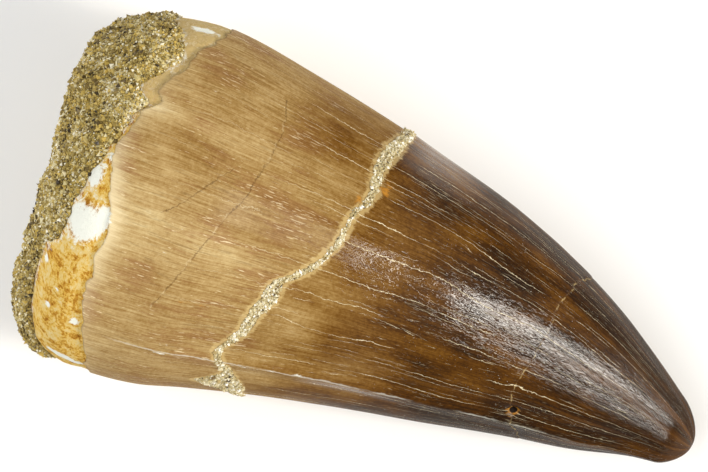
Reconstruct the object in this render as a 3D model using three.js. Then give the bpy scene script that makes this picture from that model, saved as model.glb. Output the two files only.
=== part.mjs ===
// A fossil mosasaur tooth lying on its side: a stout, slightly curved crown, sandy rock stuck over
// its broken base, and a seam of sand in the break across it. Millimetres, Z up.
//
// A place on the crown is an x, from the broken base to the tip, and an angle round it: 0 at the
// +Y edge, 90 on top, 180 at the -Y edge and 270 underneath, where the tooth rests.

import * as THREE from "three";
import { mergeVertices } from "three/addons/utils/BufferGeometryUtils.js";
import { ImprovedNoise } from "three/addons/math/ImprovedNoise.js";

const AROUND = 60;
const TIP_X = 64.4;
const TIP_CAP = 2.6;
const TIP_ROUNDNESS = 2.1;
const TIP_SLANT = 0.13;
const BASE_X = 3.3;
const BASE_SLANT = 0.3;

// Edges of the crown seen from above, and its lowest line seen from the side, as [x, y or z].
const UPPER_EDGE = [
  [2.6, 12.7], [4.6, 15], [6.8, 16.4], [9.8, 17], [14, 17], [20, 16.2], [27, 15.15], [34, 13.85],
  [41, 12.3], [48, 10], [54, 7.3], [59, 4.3], [TIP_X, 0.6],
];
const LOWER_EDGE = [
  [2.6, -10.6], [4.3, -13.7], [6, -15.6], [8.4, -16.5], [11.5, -16.4], [16, -15.7], [20, -14.4],
  [27, -12.35], [34, -10.55], [41, -8.95], [48, -7.25], [54, -6.05], [59, -4.6], [TIP_X, -3.4],
];
const BELLY = [
  [2.9, 3.2], [5, 2.2], [8, 1], [11, 0.3], [14, -0.15], [18, -0.3], [30, -0.3], [37, 0.1],
  [45, 0.8], [54, 1.9], [TIP_X, 3.6],
];
const BASE_FLATNESS = 0.8;
const TIP_FLATNESS = 0.9;

// Lines that go round the crown, as [angle, x].
const ENAMEL_LINE = [
  [0, 11.6], [14, 11.2], [26, 10.7], [35, 9.6], [44, 9.2], [51, 8], [56, 7.7], [60, 8.5], [65, 7.2],
  [75, 6.4], [80, 6.3], [88, 6.8], [94, 7.3], [104, 8.6], [112, 8.2], [118, 8.6], [130, 8.8],
  [137, 9.2], [144, 9.9], [153, 10.5], [169, 11.3], [182, 11.8], [215, 11], [250, 9.6], [285, 10.4],
  [320, 9.4], [345, 11.2],
];
const ROCK_LINE = [
  [0, 6.6], [14, 6.5], [23, 7.4], [32, 8.1], [41, 8.5], [48, 7.5], [54, 6.1], [58, 6.3], [61, 7.3],
  [66, 6.7], [75, 6], [84, 5.5], [94, 5], [104, 4.7], [112, 4.9], [118, 4.7], [125, 3.8], [134, 3.7],
  [143, 3.9], [150, 4.3], [157, 4.7], [166, 5.3], [173, 6.4], [182, 8], [200, 8.2], [235, 7],
  [270, 8], [300, 6.8], [335, 7.2],
];
const BREAK_LINE = [
  [0, 29.9], [24, 29.4], [40, 28.8], [50, 28.6], [58, 28.9], [65, 28.7], [72, 28], [82, 27.8],
  [90, 27.1], [96, 26.3], [101, 25.2], [104, 24.3], [112, 24], [118, 23.4], [127, 23], [133, 22.2],
  [137, 21.6], [141, 22], [145, 22.6], [150, 23.2], [155, 23], [159, 22.6], [164, 23.5],
  [170, 24.3], [176, 24.6], [188, 24.9], [205, 25.5], [240, 26.6], [275, 27.8], [310, 28],
  [338, 29.2],
];
const BREAK_WIDTH = [
  [0, 1], [12, 0.9], [22, 1.4], [34, 1.7], [44, 1.4], [52, 1.1], [66, 0.9], [82, 0.8], [92, 0.9],
  [102, 1.2], [110, 1.6], [118, 1.4], [128, 1.1], [138, 0.9], [146, 1], [151, 1.3], [155, 2.8],
  [159, 4.3], [163, 3.4], [168, 2], [176, 1.5], [190, 1.2], [240, 0.9], [300, 1.1], [340, 0.9],
];
// How far the rock spreads over the side of the crown, as a share of its full thickness there.
const ROCK_COVER = [
  [0, 0.65], [30, 0.85], [60, 1], [95, 0.85], [112, 0.45], [130, 0.3], [145, 0.45], [165, 0.9], [180, 1.1],
  [230, 1], [270, 1.2], [320, 1],
];
// How thick it is on the broken end, as a share of the thickness that its rings give.
const ROCK_DEPTH = [
  [0, 1], [20, 1.08], [40, 1.2], [62, 1.18], [90, 0.78], [115, 0.58], [130, 0.48], [150, 0.44],
  [180, 0.48], [230, 0.5], [270, 0.7], [300, 0.95], [330, 1],
];
const ROCK_MIDDLE_DEPTH = 0.8;

// Relief of the crown.
const ENAMEL_STEP = 0.22;
const KEELS = [
  { angle: 142, twist: 6, height: 0.4 },
  { angle: 342, twist: -6, height: 0.45 },
];
const KEEL_START = 13;
const KEEL_WIDTH = 1;
const FLUTES = 9;
const FLUTE_DEPTH = 0.08;
const BREAK_DEPTH = 0.9;
const BREAK_STEP = { angle: 8, spread: 34, height: 0.15, length: 3 };

const GAP = 0.12;
const HOLLOW_GAP = 0.22;
const ROCK_LUMP = { size: 3.4, height: 0.6 };
const ROCK_GRIT = { size: 1.15, height: 0.3 };
const SEAM_GRIT = { size: 0.9, height: 0.12 };

// Rings of the rock, from the middle of the broken end out and up the side: the share of the
// base's radius, the share of the way up to the rock's edge, and how far the rock reaches out
// beyond the crown along -X and away from its axis.
const ROCK_RINGS = [
  [0, 0, 2.9, 0], [0.3, 0, 2.9, 0], [0.52, 0, 2.9, 0], [0.7, 0, 2.8, 0], [0.84, 0, 2.5, 0.15],
  [0.95, 0, 2, 0.5], [1, 0, 1.3, 0.9], [1, 0.22, 0.6, 1.1], [1, 0.45, 0.2, 1], [1, 0.68, 0, 0.8],
  [1, 0.88, 0, 0.5], [1, 1, 0, 0.22],
];
const ROCK_HOLLOW_RINGS = [[1, 1], [1, 0.66], [1, 0.33], [1, 0], [0.66, 0], [0.33, 0], [0, 0]];

const SIDE_RINGS = { dentine: 4, lowerCrown: 12, upperCrown: 19, cap: 5 };
const grain = new ImprovedNoise();

// A smooth curve through [x, value] stations.
function along(stations, x) {
  const last = stations.length - 1;
  const found = stations.findIndex((station) => station[0] > x);
  const i = Math.min(found < 0 ? last - 1 : Math.max(found - 1, 0), last - 1);
  const slope = (k) => {
    const [x0, y0] = stations[Math.max(k - 1, 0)];
    const [x1, y1] = stations[Math.min(k + 1, last)];
    return (y1 - y0) / (x1 - x0);
  };
  const [x0, y0] = stations[i];
  const [x1, y1] = stations[i + 1];
  const span = x1 - x0;
  const t = (x - x0) / span;
  const bend = t * t * (3 - 2 * t);
  const start = t * (1 - t) * (1 - t) * slope(i) * span;
  const end = t * t * (t - 1) * slope(i + 1) * span;
  return y0 * (1 - bend) + y1 * bend + start + end;
}

// The same, for [angle, value] stations that go once round.
function around(stations, angle) {
  const turn = THREE.MathUtils.euclideanModulo(angle, 360);
  const before = stations.slice(-2).map(([a, value]) => [a - 360, value]);
  const after = stations.slice(0, 2).map(([a, value]) => [a + 360, value]);
  return along([...before, ...stations, ...after], turn);
}

function angleBetween(a, b) {
  return THREE.MathUtils.euclideanModulo(a - b + 180, 360) - 180;
}

function cosine(angle) {
  return Math.cos(THREE.MathUtils.degToRad(angle));
}

function sine(angle) {
  return Math.sin(THREE.MathUtils.degToRad(angle));
}

// The oval section of the crown at x: its middle and its half sizes.
function sectionAt(x) {
  const upper = along(UPPER_EDGE, x);
  const lower = along(LOWER_EDGE, x);
  const halfWidth = (upper - lower) / 2;
  const flatness = THREE.MathUtils.lerp(BASE_FLATNESS, TIP_FLATNESS, x / TIP_X);
  const halfHeight = halfWidth * flatness;
  return { y: (upper + lower) / 2, z: along(BELLY, x) + halfHeight, halfWidth, halfHeight };
}

// Height of the keels and flutes, of the step down to the dentine and of the step at the break.
function relief(x, angle) {
  const { halfWidth } = sectionAt(x);
  const rise = THREE.MathUtils.smoothstep(x, KEEL_START, KEEL_START + 10);
  let height = FLUTE_DEPTH * rise * cosine(FLUTES * angle + 40);
  for (const keel of KEELS) {
    const middle = keel.angle + keel.twist * (x / TIP_X) ** 4;
    const arc = THREE.MathUtils.degToRad(angleBetween(angle, middle)) * halfWidth;
    height += keel.height * rise * Math.exp(-((arc / KEEL_WIDTH) ** 2));
  }
  const beyond = x - around(BREAK_LINE, angle);
  if (beyond > 0) {
    const near = Math.exp(-((angleBetween(angle, BREAK_STEP.angle) / BREAK_STEP.spread) ** 2));
    height += BREAK_STEP.height * near * Math.exp(-beyond / BREAK_STEP.length);
  }
  return x < around(ENAMEL_LINE, angle) ? height - ENAMEL_STEP : height;
}

function baseX(angle) {
  return BASE_X - BASE_SLANT * cosine(angle);
}

// A point of the crown's skin at x, pushed out by some height. A radius under 1 is inside its edge.
function skinPoint(x, angle, height = 0, radius = 1) {
  const { y, z, halfWidth, halfHeight } = sectionAt(x);
  const out = new THREE.Vector2(halfHeight * cosine(angle), halfWidth * sine(angle)).normalize();
  return new THREE.Vector3(
    x,
    y + radius * halfWidth * cosine(angle) + height * out.x,
    z + radius * halfHeight * sine(angle) + height * out.y,
  );
}

// A point of the broken end: the same oval, on a plane that slants across.
function endPoint(radius, angle, height = 0, out = 0) {
  const edge = skinPoint(baseX(angle), angle, relief(baseX(angle), angle) + height);
  const middle = skinPoint(BASE_X, angle, 0, 0);
  return middle.lerp(edge, radius).add(new THREE.Vector3(-out, 0, 0));
}

function restOnTable(point) {
  point.z = Math.max(point.z, 0);
  return point;
}

function roughness(point, { size, height }) {
  const { x, y, z } = point.clone().divideScalar(size);
  return height * grain.noise(x + 0.37, y + 0.61, z + 0.83);
}

// A closed lathe whose rings are then moved: place(ring, angle) gives the point of each vertex.
function shapedLathe(rings, radiusOf, place, closesOnItself = false) {
  const loop = closesOnItself ? [...rings, rings[0]] : rings;
  const profile = loop.map((ring, i) => new THREE.Vector2(radiusOf(ring), i));
  const lathe = new THREE.LatheGeometry(profile, AROUND);
  const position = lathe.attributes.position;
  const step = 360 / AROUND;
  for (let i = 0; i < position.count; i++) {
    const ring = i % loop.length;
    const angle = step * Math.floor(i / loop.length);
    const point = restOnTable(place(loop[ring], angle % 360));
    position.setXYZ(i, point.x, point.y, point.z);
  }
  lathe.deleteAttribute("normal");
  lathe.deleteAttribute("uv");
  return mergeVertices(lathe, 1e-3);
}

// Evenly spaced rings between two lines that go round the crown.
function ringsBetween(from, to, count) {
  return Array.from({ length: count }, (_, i) => {
    const share = (i + 1) / (count + 1);
    return (angle) => skinPointOn(THREE.MathUtils.lerp(from(angle), to(angle), share), angle);
  });
}

function skinPointOn(x, angle) {
  return skinPoint(x, angle, relief(x, angle));
}

function breakEdge(side) {
  return (angle) => around(BREAK_LINE, angle) + (side * around(BREAK_WIDTH, angle)) / 2;
}

// The rounded, worn tip: share goes from 0 where the rounding starts to 1 at the very end.
function tipPoint(share, angle) {
  const x = TIP_X - TIP_CAP * (1 - share);
  const radius = (1 - share ** TIP_ROUNDNESS) ** (1 / TIP_ROUNDNESS);
  const point = skinPoint(x, angle, radius * relief(x, angle), radius);
  point.x += TIP_SLANT * share * (point.y - sectionAt(x).y);
  return point;
}

function toothCrown() {
  const ledge = ENAMEL_STEP / 2;
  const enamelEdge = (angle) => around(ENAMEL_LINE, angle);
  const capStart = () => TIP_X - TIP_CAP;
  const groove = (side) => (angle) => {
    const x = breakEdge(side)(angle) - side * GAP;
    return skinPoint(x, angle, relief(x, angle) - BREAK_DEPTH - GAP);
  };
  const rings = [
    ...[0, 0.4, 0.75, 1].map((radius) => (angle) => endPoint(radius, angle)),
    ...ringsBetween(baseX, enamelEdge, SIDE_RINGS.dentine),
    (angle) => skinPointOn(enamelEdge(angle) - ledge, angle),
    (angle) => skinPointOn(enamelEdge(angle) + ledge, angle),
    ...ringsBetween(enamelEdge, breakEdge(-1), SIDE_RINGS.lowerCrown),
    (angle) => skinPointOn(breakEdge(-1)(angle), angle),
    groove(-1),
    groove(1),
    (angle) => skinPointOn(breakEdge(1)(angle), angle),
    ...ringsBetween(breakEdge(1), capStart, SIDE_RINGS.upperCrown),
    ...Array.from({ length: SIDE_RINGS.cap + 1 }, (_, i) => {
      const share = Math.sin((Math.PI / 2) * (i / SIDE_RINGS.cap));
      return (angle) => tipPoint(share, angle);
    }),
  ];
  const last = rings.length - 1;
  return shapedLathe(
    rings,
    (ring) => (ring === rings[0] || ring === rings[last] ? 0 : 1),
    (ring, angle) => ring(angle),
  );
}

function rockLine(angle) {
  return Math.max(around(ROCK_LINE, angle), baseX(angle) + GAP);
}

// A point of the rock's face, or of its hollow, which follows the crown at a small gap.
function rockPoint([radius, share, depth, up], angle) {
  if (depth === undefined) {
    if (share === 0) return endPoint(radius, angle, GAP, GAP);
    const hollowX = THREE.MathUtils.lerp(baseX(angle), rockLine(angle), share);
    return skinPoint(hollowX, angle, relief(hollowX, angle) + HOLLOW_GAP);
  }
  const x = THREE.MathUtils.lerp(baseX(angle), rockLine(angle), share);
  const height = GAP + up * around(ROCK_COVER, angle);
  const out = depth * THREE.MathUtils.lerp(ROCK_MIDDLE_DEPTH, around(ROCK_DEPTH, angle), radius);
  const point =
    share === 0
      ? endPoint(radius, angle, height, out)
      : skinPoint(x, angle, relief(x, angle) + height).add(new THREE.Vector3(-out, 0, 0));
  const lump = roughness(point, ROCK_LUMP) + roughness(point, ROCK_GRIT);
  const away = new THREE.Vector3(-out, up * cosine(angle), up * sine(angle)).normalize();
  return point.addScaledVector(away, lump * Math.min(1, out + up - 0.1));
}

function baseRock() {
  const rings = [...ROCK_RINGS, ...ROCK_HOLLOW_RINGS];
  return shapedLathe(rings, ([radius]) => radius, rockPoint);
}

// The sand in the break, a ring with a rough face that stands just clear of the groove's walls.
function breakSand() {
  const rings = [
    [-1, -BREAK_DEPTH], [-1, -0.1], [-0.4, 0.06], [0.4, 0.06], [1, -0.1], [1, -BREAK_DEPTH],
  ];
  return shapedLathe(
    rings,
    () => 1,
    ([side, height], angle) => {
      const halfWidth = around(BREAK_WIDTH, angle) / 2 - 2 * GAP;
      const x = around(BREAK_LINE, angle) + side * halfWidth;
      const point = skinPoint(x, angle, relief(x, angle) + height);
      const rough = height > -BREAK_DEPTH ? roughness(point, SEAM_GRIT) : 0;
      return skinPoint(x, angle, relief(x, angle) + height + rough);
    },
    true,
  );
}

function finish(colour, roughnessOfSurface) {
  return new THREE.MeshStandardMaterial({ color: colour, roughness: roughnessOfSurface, metalness: 0 });
}

function piece(name, geometry, material) {
  const mesh = new THREE.Mesh(geometry, material);
  mesh.name = name;
  return mesh;
}

const pieces = new THREE.Group();
pieces.add(
  piece("tooth_crown", toothCrown(), finish(0x8f6a38, 0.35)),
  piece("base_rock", baseRock(), finish(0x9c8954, 0.95)),
  piece("break_sand", breakSand(), finish(0xb5a479, 0.95)),
);

// The part's origin is under the middle of the tooth, on the table.
const tooth = new THREE.Group();
tooth.add(pieces);
const middle = new THREE.Box3().setFromObject(tooth).getCenter(new THREE.Vector3());
pieces.position.set(-middle.x, -middle.y, 0);

export default tooth;
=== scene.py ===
"""A fossil mosasaur tooth lying on its side, as a studio photograph shows it from above.

The crown, the sandy rock over its broken base and the sand in its break are built again here with
their fine relief, each where its plain solid lies. Shapes are worked out in millimetres, along the
tooth (x, from the broken base to the tip) and round it (an angle in degrees: 0 at the +Y edge, 90
on top, 180 at the -Y edge and 270 underneath), and are placed in metres.
"""

import logging
import math
from dataclasses import dataclass, field
from enum import Enum

import bmesh
import bpy
import numpy as np
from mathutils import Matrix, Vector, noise


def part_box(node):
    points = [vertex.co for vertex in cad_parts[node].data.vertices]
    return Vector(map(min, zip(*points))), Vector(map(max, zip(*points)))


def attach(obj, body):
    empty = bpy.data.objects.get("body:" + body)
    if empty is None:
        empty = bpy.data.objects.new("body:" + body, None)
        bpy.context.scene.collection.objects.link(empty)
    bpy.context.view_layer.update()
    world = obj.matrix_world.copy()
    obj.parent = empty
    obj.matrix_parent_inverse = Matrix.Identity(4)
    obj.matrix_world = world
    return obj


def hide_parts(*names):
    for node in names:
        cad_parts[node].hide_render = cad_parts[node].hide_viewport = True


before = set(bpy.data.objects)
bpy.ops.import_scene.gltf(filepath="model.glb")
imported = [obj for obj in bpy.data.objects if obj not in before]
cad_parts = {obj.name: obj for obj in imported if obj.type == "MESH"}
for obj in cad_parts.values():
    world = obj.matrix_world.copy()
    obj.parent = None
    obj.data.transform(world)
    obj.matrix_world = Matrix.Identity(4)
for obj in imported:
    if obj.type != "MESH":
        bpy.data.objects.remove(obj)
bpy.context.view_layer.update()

LOG = logging.getLogger("tooth")
MM = 0.001
Stations = tuple[tuple[float, float], ...]
Triple = tuple[float, float, float]
Colour = tuple[float, float, float]
Stops = tuple[tuple[float, Colour], ...]


def along(stations: Stations, x: np.ndarray) -> np.ndarray:
    """Read a smooth curve through stations.

    Args:
        stations: The curve's points, each a place and a value.
        x: The places to read.

    Returns:
        The curve's values there.
    """
    places, values = np.array(stations, dtype=float).T
    last = len(places) - 1
    index = np.arange(last + 1)
    before = np.maximum(index - 1, 0)
    after = np.minimum(index + 1, last)
    slopes = (values[after] - values[before]) / (places[after] - places[before])
    i = np.clip(np.searchsorted(places, x, side="right") - 1, 0, last - 1)
    span = places[i + 1] - places[i]
    t = (x - places[i]) / span
    bend = t * t * (3 - 2 * t)
    start = t * (1 - t) ** 2 * slopes[i] * span
    end = t * t * (t - 1) * slopes[i + 1] * span
    return values[i] * (1 - bend) + values[i + 1] * bend + start + end


def around(stations: Stations, angle: np.ndarray) -> np.ndarray:
    """Read a smooth closed curve through stations that go once round.

    Args:
        stations: The curve's points, each an angle in degrees and a value.
        angle: The angles to read, in degrees.

    Returns:
        The curve's values there.
    """
    before = tuple((place - 360, value) for place, value in stations[-2:])
    after = tuple((place + 360, value) for place, value in stations[:2])
    return along((*before, *stations, *after), np.mod(angle, 360))


def turn_between(first: np.ndarray, second: np.ndarray | float) -> np.ndarray:
    """Give the smaller turn from one angle to another, in degrees."""
    return np.mod(first - second + 180, 360) - 180


def smooth(low: float, high: float, value: np.ndarray) -> np.ndarray:
    """Rise smoothly from 0 at low to 1 at high."""
    t = np.clip((value - low) / (high - low), 0, 1)
    return t * t * (3 - 2 * t)


def lumps(points: np.ndarray, size: float) -> np.ndarray:
    """Read smooth noise at points.

    Args:
        points: An array whose last axis holds x, y and z.
        size: How far apart the noise's lumps are, in the points' units.

    Returns:
        Values from about -1 to 1, one for each point.
    """
    places = (points.reshape(-1, 3) / size + 0.37).tolist()
    values = np.array([noise.noise(place) for place in places])
    return values.reshape(points.shape[:-1])


@dataclass(frozen=True)
class Keel:
    """A sharp edge that runs up the crown."""

    angle: float
    twist: float
    height: float


@dataclass(frozen=True)
class Spot:
    """A mark on the crown: where it is, how far it reaches and how strong it is."""

    x: float
    angle: float
    length: float
    width: float
    amount: float


@dataclass(frozen=True)
class ToothShape:
    """The tooth's sizes in millimetres, as its solids have them."""

    tip_x: float = 64.4
    tip_cap: float = 2.6
    tip_roundness: float = 2.1
    tip_slant: float = 0.13
    base_x: float = 3.3
    base_slant: float = 0.3
    upper_edge: Stations = (
        (2.6, 12.7), (4.6, 15), (6.8, 16.4), (9.8, 17), (14, 17), (20, 16.2), (27, 15.15),
        (34, 13.85), (41, 12.3), (48, 10), (54, 7.3), (59, 4.3), (64.4, 0.6),
    )
    lower_edge: Stations = (
        (2.6, -10.6), (4.3, -13.7), (6, -15.6), (8.4, -16.5), (11.5, -16.4), (16, -15.7),
        (20, -14.4), (27, -12.35), (34, -10.55), (41, -8.95), (48, -7.25), (54, -6.05), (59, -4.6),
        (64.4, -3.4),
    )
    belly: Stations = (
        (2.9, 3.2), (5, 2.2), (8, 1), (11, 0.3), (14, -0.15), (18, -0.3), (30, -0.3), (37, 0.1),
        (45, 0.8), (54, 1.9), (64.4, 3.6),
    )
    base_flatness: float = 0.8
    tip_flatness: float = 0.9
    enamel_line: Stations = (
        (0, 11.6), (14, 11.2), (26, 10.7), (35, 9.6), (44, 9.2), (51, 8), (56, 7.7), (60, 8.5),
        (65, 7.2), (75, 6.4), (80, 6.3), (88, 6.8), (94, 7.3), (104, 8.6), (112, 8.2), (118, 8.6),
        (130, 8.8), (137, 9.2), (144, 9.9), (153, 10.5), (169, 11.3), (182, 11.8), (215, 11),
        (250, 9.6), (285, 10.4), (320, 9.4), (345, 11.2),
    )
    rock_line: Stations = (
        (0, 6.6), (14, 6.5), (23, 7.4), (32, 8.1), (41, 8.5), (48, 7.5), (54, 6.1), (58, 6.3),
        (61, 7.3), (66, 6.7), (75, 6), (84, 5.5), (94, 5), (104, 4.7), (112, 4.9), (118, 4.7),
        (125, 3.8), (134, 3.7), (143, 3.9), (150, 4.3), (157, 4.7), (166, 5.3), (173, 6.4),
        (182, 8), (200, 8.2), (235, 7), (270, 8), (300, 6.8), (335, 7.2),
    )
    rock_depth: Stations = (
        (0, 1), (20, 1.08), (40, 1.2), (62, 1.18), (90, 0.78), (115, 0.58), (130, 0.48), (150, 0.44),
        (180, 0.48), (230, 0.5), (270, 0.7), (300, 0.95), (330, 1),
    )
    rock_middle_depth: float = 0.8
    break_line: Stations = (
        (0, 29.9), (24, 29.4), (40, 28.8), (50, 28.6), (58, 28.9), (65, 28.7), (72, 28), (82, 27.8),
        (90, 27.1), (96, 26.3), (101, 25.2), (104, 24.3), (112, 24), (118, 23.4), (127, 23),
        (133, 22.2), (137, 21.6), (141, 22), (145, 22.6), (150, 23.2), (155, 23), (159, 22.6),
        (164, 23.5), (170, 24.3), (176, 24.6), (188, 24.9), (205, 25.5), (240, 26.6), (275, 27.8),
        (310, 28), (338, 29.2),
    )
    break_width: Stations = (
        (0, 1), (12, 0.9), (22, 1.4), (34, 1.7), (44, 1.4), (52, 1.1), (66, 0.9), (82, 0.8),
        (92, 0.9), (102, 1.2), (110, 1.6), (118, 1.4), (128, 1.1), (138, 0.9), (146, 1), (151, 1.3),
        (155, 2.8), (159, 4.3), (163, 3.4), (168, 2), (176, 1.5), (190, 1.2), (240, 0.9), (300, 1.1),
        (340, 0.9),
    )
    second_break: Stations = (
        (8, 50), (38, 48.9), (65, 48.2), (80, 48.2), (96, 47.9), (114, 47.5), (125, 47.6),
        (136, 48.1), (158, 49.2), (180, 49.7), (245, 48.8), (290, 48.3), (330, 49.6),
    )
    keels: tuple[Keel, ...] = (Keel(142, 6, 0.4), Keel(342, -6, 0.45))
    keel_start: float = 13
    keel_width: float = 1
    flutes: int = 9
    flute_depth: float = 0.08
    enamel_step: float = 0.22
    break_depth: float = 0.9
    step_angle: float = 8
    step_spread: float = 34
    step_height: float = 0.15
    step_length: float = 3
    gap: float = 0.12

    def section(self, x: np.ndarray) -> tuple[np.ndarray, np.ndarray, np.ndarray, np.ndarray]:
        """Give the crown's oval section.

        Args:
            x: The places along the tooth.

        Returns:
            The section's middle, as y and z, and its half width and half height.
        """
        upper = along(self.upper_edge, x)
        lower = along(self.lower_edge, x)
        half_width = (upper - lower) / 2
        flatness = self.base_flatness + (self.tip_flatness - self.base_flatness) * x / self.tip_x
        half_height = half_width * flatness
        return (upper + lower) / 2, along(self.belly, x) + half_height, half_width, half_height

    def keel_arc(self, keel: Keel, x: np.ndarray, angle: np.ndarray) -> np.ndarray:
        """Give the distance round the crown from a keel's crest, in millimetres."""
        middle = keel.angle + keel.twist * (x / self.tip_x) ** 4
        return np.radians(turn_between(angle, middle)) * self.section(x)[2]

    def relief(self, x: np.ndarray, angle: np.ndarray) -> np.ndarray:
        """Give the height of the keels, flutes and steps over the plain oval, as the solids have it.

        Args:
            x: The places along the tooth.
            angle: The angles round it.

        Returns:
            The height there.
        """
        rise = smooth(self.keel_start, self.keel_start + 10, x)
        height = self.flute_depth * rise * np.cos(np.radians(self.flutes * angle + 40))
        for keel in self.keels:
            arc = self.keel_arc(keel, x, angle)
            height = height + keel.height * rise * np.exp(-((arc / self.keel_width) ** 2))
        beyond = x - around(self.break_line, angle)
        near = np.exp(-((turn_between(angle, self.step_angle) / self.step_spread) ** 2))
        step = self.step_height * near * np.exp(-np.maximum(beyond, 0) / self.step_length)
        height = height + np.where(beyond > 0, step, 0)
        return height - np.where(x < around(self.enamel_line, angle), self.enamel_step, 0)

    def skin(
        self,
        x: np.ndarray,
        angle: np.ndarray,
        height: np.ndarray | float = 0,
        radius: np.ndarray | float = 1,
    ) -> np.ndarray:
        """Give points of the crown's skin.

        Args:
            x: The places along the tooth.
            angle: The angles round it.
            height: How far the points stand out from the oval.
            radius: The share of the way out from the middle to the oval.

        Returns:
            The points, with x, y and z in the last axis.
        """
        y, z, half_width, half_height = self.section(x)
        cosine = np.cos(np.radians(angle))
        sine = np.sin(np.radians(angle))
        length = np.hypot(half_height * cosine, half_width * sine)
        out_y = half_height * cosine / length
        out_z = half_width * sine / length
        point_y = y + radius * half_width * cosine + height * out_y
        point_z = z + radius * half_height * sine + height * out_z
        return np.stack(np.broadcast_arrays(x, point_y, point_z), axis=-1)

    def base_edge(self, angle: np.ndarray) -> np.ndarray:
        """Give the x of the broken base's edge."""
        return self.base_x - self.base_slant * np.cos(np.radians(angle))

    def end_face(
        self, radius: float, angle: np.ndarray, height: np.ndarray | float = 0, out: float = 0
    ) -> np.ndarray:
        """Give points of the broken end, or of a face that stands out from it.

        Args:
            radius: The share of the way out from the end's middle to its edge.
            angle: The angles round the tooth.
            height: How far the edge stands out from the crown's side.
            out: How far the face stands out beyond the end.

        Returns:
            The points.
        """
        edge_x = self.base_edge(angle)
        edge = self.skin(edge_x, angle, self.relief(edge_x, angle) + height)
        middle = self.skin(np.full_like(angle, self.base_x), angle, 0, 0)
        return middle + (edge - middle) * radius - np.array([out, 0, 0])

    def tip(self, share: float, angle: np.ndarray, height: np.ndarray | float = 0) -> np.ndarray:
        """Give points of the worn tip.

        Args:
            share: How far along the tip they are, from 0 where its rounding starts to 1 at its end.
            angle: The angles round the tooth.
            height: How far fine relief stands out from the solid's own.

        Returns:
            The points.
        """
        x = np.full_like(angle, self.tip_x - self.tip_cap * (1 - share))
        radius = (1 - share**self.tip_roundness) ** (1 / self.tip_roundness)
        points = self.skin(x, angle, radius * (self.relief(x, angle) + height), radius)
        points[..., 0] += self.tip_slant * share * (points[..., 1] - self.section(x)[0])
        return points

    def break_edge(self, side: int, angle: np.ndarray) -> np.ndarray:
        """Give the x of one edge of the wide break: side -1 is towards the base, 1 the tip."""
        return around(self.break_line, angle) + side * around(self.break_width, angle) / 2

    def rock_edge(self, angle: np.ndarray) -> np.ndarray:
        """Give the x at which the rock on the crown's side ends."""
        return np.maximum(around(self.rock_line, angle), self.base_edge(angle) + self.gap)

    def place(self) -> np.ndarray:
        """Give what is added to a point to bring it where the solids lie.

        Returns:
            The shift, in millimetres.
        """
        angle = np.arange(0, 360, 6.0)
        tip_x = max(self.tip(math.sin(math.pi / 2 * i / 5), angle)[..., 0].max() for i in range(6))
        rows = np.linspace(10, 18, 81)[:, None]
        side_y = self.skin(rows, angle, self.relief(rows, angle))[..., 1].max()
        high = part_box("tooth_crown")[1]
        return np.array([high[0] / MM - tip_x, high[1] / MM - side_y, 0])


class Wire:
    """An output of a shader node that adds, scales and compares as a number does."""

    def __init__(self, shader: "Shader", socket: bpy.types.NodeSocket) -> None:
        """Keep the socket and the shader that it is in."""
        self.shader = shader
        self.socket = socket

    def maths(self, operation: str, *others: "Wire | float", swapped: bool = False) -> "Wire":
        """Add a Math node.

        Args:
            operation: The node's operation.
            others: The other values that it takes.
            swapped: Whether this value comes second.

        Returns:
            The node's output.
        """
        values = [self, *others]
        if swapped:
            values.reverse()
        inputs = dict(enumerate(values))
        return self.shader.wire("ShaderNodeMath", {"operation": operation}, inputs)

    def __add__(self, other: "Wire | float") -> "Wire":
        """Add."""
        return self.maths("ADD", other)

    def __radd__(self, other: float) -> "Wire":
        """Add to a number."""
        return self.maths("ADD", other)

    def __sub__(self, other: "Wire | float") -> "Wire":
        """Subtract."""
        return self.maths("SUBTRACT", other)

    def __rsub__(self, other: float) -> "Wire":
        """Subtract from a number."""
        return self.maths("SUBTRACT", other, swapped=True)

    def __mul__(self, other: "Wire | float") -> "Wire":
        """Multiply."""
        return self.maths("MULTIPLY", other)

    def __rmul__(self, other: float) -> "Wire":
        """Multiply a number."""
        return self.maths("MULTIPLY", other)

    def __abs__(self) -> "Wire":
        """Drop the sign."""
        return self.maths("ABSOLUTE")

    def most(self, other: "Wire | float") -> "Wire":
        """Take the larger of two values."""
        return self.maths("MAXIMUM", other)

    def rise(self, low: float, high: float) -> "Wire":
        """Rise smoothly from 0 to 1.

        Args:
            low: Where it is 0.
            high: Where it is 1, which may be the smaller of the two.

        Returns:
            The risen value.
        """
        settings = {"interpolation_type": "SMOOTHSTEP"}
        inputs = {"Value": self, "From Min": low, "From Max": high}
        return self.shader.wire("ShaderNodeMapRange", settings, inputs)


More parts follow.
